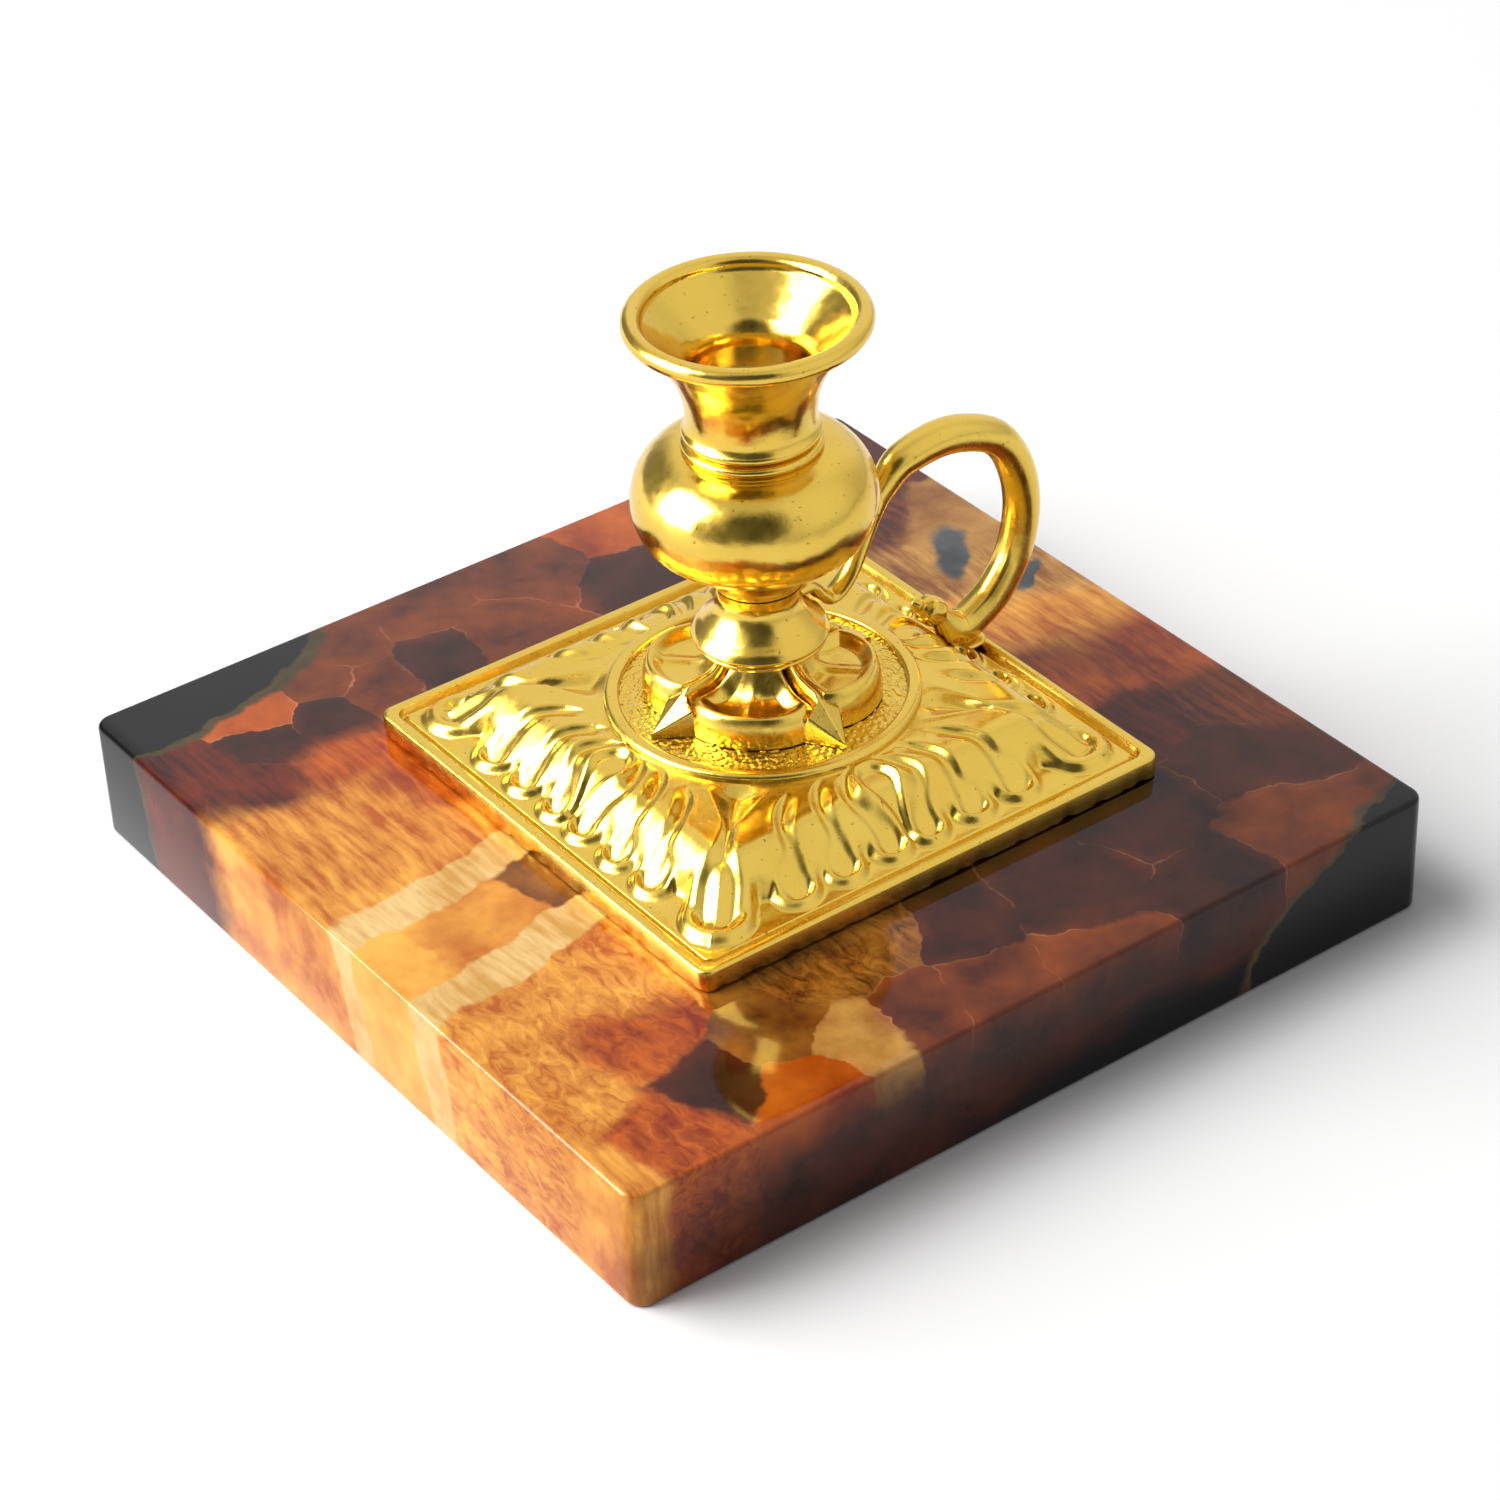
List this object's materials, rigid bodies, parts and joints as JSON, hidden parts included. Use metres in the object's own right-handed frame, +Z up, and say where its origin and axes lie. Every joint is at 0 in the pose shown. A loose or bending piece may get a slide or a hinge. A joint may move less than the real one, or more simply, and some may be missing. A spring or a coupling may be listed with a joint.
{
  "type": "chamber candlestick",
  "caption": "Short gilt brass candlestick with a flared socket, round bulb, looped finger handle and square relief foot plate, fixed to a polished square stone slab.",
  "frame": {"origin": "centre of the slab's underside, on the table", "axes": "+Z is up along the candle; +X points from the candle towards the handle; +Y is to the left of the handle seen from above"},
  "size_m": [0.1, 0.1, 0.0667],
  "materials": {
    "stone": "polished",
    "gilt_brass": "polished",
    "plated_steel": "plated",
    "spring_steel": "blued"
  },
  "bodies": {
    "root": {"stone_slab": "stone", "foot_plate": "gilt_brass", "rosette": "gilt_brass", "knop": "gilt_brass", "bulb": "gilt_brass", "nozzle": "gilt_brass", "handle": "gilt_brass", "handle_rivet": "gilt_brass", "tie_screw": "plated_steel", "tie_washer": "plated_steel", "lock_washer": "spring_steel", "tie_nut": "plated_steel"}
  },
  "joints": []
}
